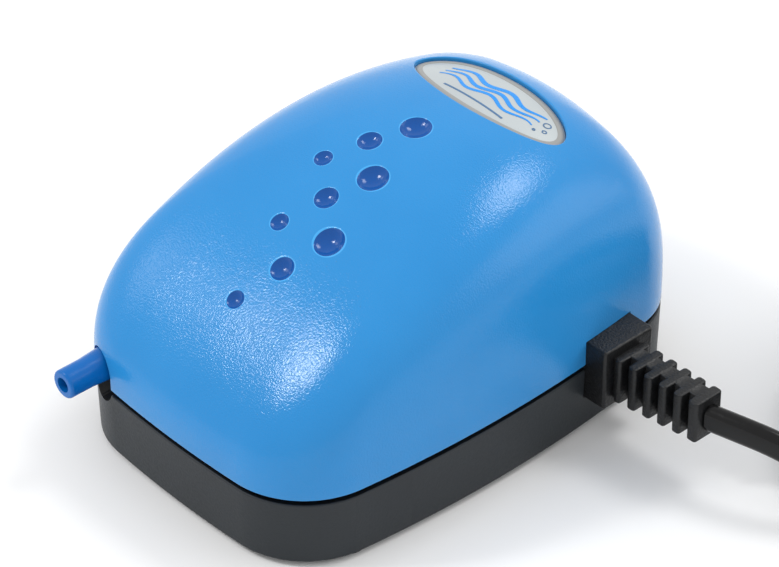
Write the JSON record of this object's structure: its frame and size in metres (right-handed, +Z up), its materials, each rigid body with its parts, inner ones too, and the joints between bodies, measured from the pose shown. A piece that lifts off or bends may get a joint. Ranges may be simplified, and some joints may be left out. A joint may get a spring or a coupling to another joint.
{
  "type": "air pump",
  "caption": "Small aquarium air pump: domed blue cover on a dark tray, air nozzle in front, vibrating arm and diaphragm inside, and a flat mains lead with a plug.",
  "frame": {"origin": "bottom centre of the pump with its nozzle, on the surface that it stands on", "axes": "+Z up, -Y towards the air nozzle at the front, +X towards the side that the lead leaves"},
  "size_m": [0.1583, 0.1788, 0.0539],
  "materials": {
    "cover_blue": "fine satin grain, sky blue",
    "tray_grey": "satin dark grey",
    "badge_metal": "silver print under a clear layer",
    "foot_rubber": "matte black rubber",
    "steel": "zinc plated",
    "filter_felt": "white felt",
    "nozzle_blue": "glossy deep blue",
    "clear_silicone": "milky silicone",
    "core_steel": "stacked silicon steel sheets",
    "ivory_plastic": "natural nylon",
    "copper_wire": "enamelled copper wire",
    "tape": "yellow polyester tape",
    "brown_sleeve": "brown insulation",
    "blue_sleeve": "blue insulation",
    "magnet": "ferrite",
    "valve_rubber": "red-brown rubber",
    "cord_black": "glossy black flexible PVC",
    "plug_black": "black moulded PVC",
    "nickel": "nickel plated brass"
  },
  "bodies": {
    "housing": {"top_cover": "cover_blue", "base_tray": "tray_grey", "badge": "badge_metal", "foot_front_left": "foot_rubber", "foot_front_right": "foot_rubber", "foot_rear_left": "foot_rubber", "foot_rear_right": "foot_rubber", "housing_screws": "steel", "air_filter": "filter_felt", "filter_cover": "tray_grey", "outlet_nozzle": "nozzle_blue", "outlet_tube": "clear_silicone", "core_laminations": "core_steel", "core_screws": "steel", "coil_bobbin": "ivory_plastic", "coil_winding": "copper_wire", "winding_tape": "tape", "lead_live": "brown_sleeve", "lead_neutral": "blue_sleeve", "splice_sleeves": "ivory_plastic", "pivot_bush": "foot_rubber", "pivot_cap": "tray_grey", "pivot_screws": "steel", "diaphragm": "foot_rubber", "diaphragm_clamp": "ivory_plastic", "valve_body": "ivory_plastic", "chamber_gasket": "foot_rubber", "chamber_cover": "ivory_plastic", "chamber_screws": "steel", "pump_screws": "steel", "strain_relief": "cord_black", "power_cord": "cord_black", "cord_coil": "cord_black", "cord_tail": "cord_black", "cord_tie": "plug_black", "power_plug": "plug_black", "plug_pins": "nickel"},
    "arm": {"vibrating_arm": "ivory_plastic", "magnet_backplate": "core_steel", "magnet_left": "magnet", "magnet_right": "magnet", "diaphragm_plate": "ivory_plastic", "diaphragm_washer": "ivory_plastic", "diaphragm_screw": "steel"},
    "inlet_flap": {"inlet_valve": "valve_rubber"},
    "outlet_flap": {"outlet_valve": "valve_rubber"}
  },
  "joints": [
    {"name": "arm_swing", "type": "hinge", "parent": "housing", "child": "arm", "pos_m": [0, -0.0326, 0.02], "axis": [0, 0, 1], "range_deg": [-2, 2], "stiffness_Nm_per_rad": 2, "deforming": ["diaphragm"]},
    {"name": "inlet_flap_swing", "type": "hinge", "parent": "housing", "child": "inlet_flap", "pos_m": [-0.0138, -0.0041, 0.024], "axis": [0, -1, 0], "range_deg": [0, 12], "stiffness_Nm_per_rad": 0.0002},
    {"name": "outlet_flap_swing", "type": "hinge", "parent": "housing", "child": "outlet_flap", "pos_m": [-0.0174, -0.0131, 0.024], "axis": [0, 1, 0], "range_deg": [0, 15], "stiffness_Nm_per_rad": 0.0002}
  ]
}
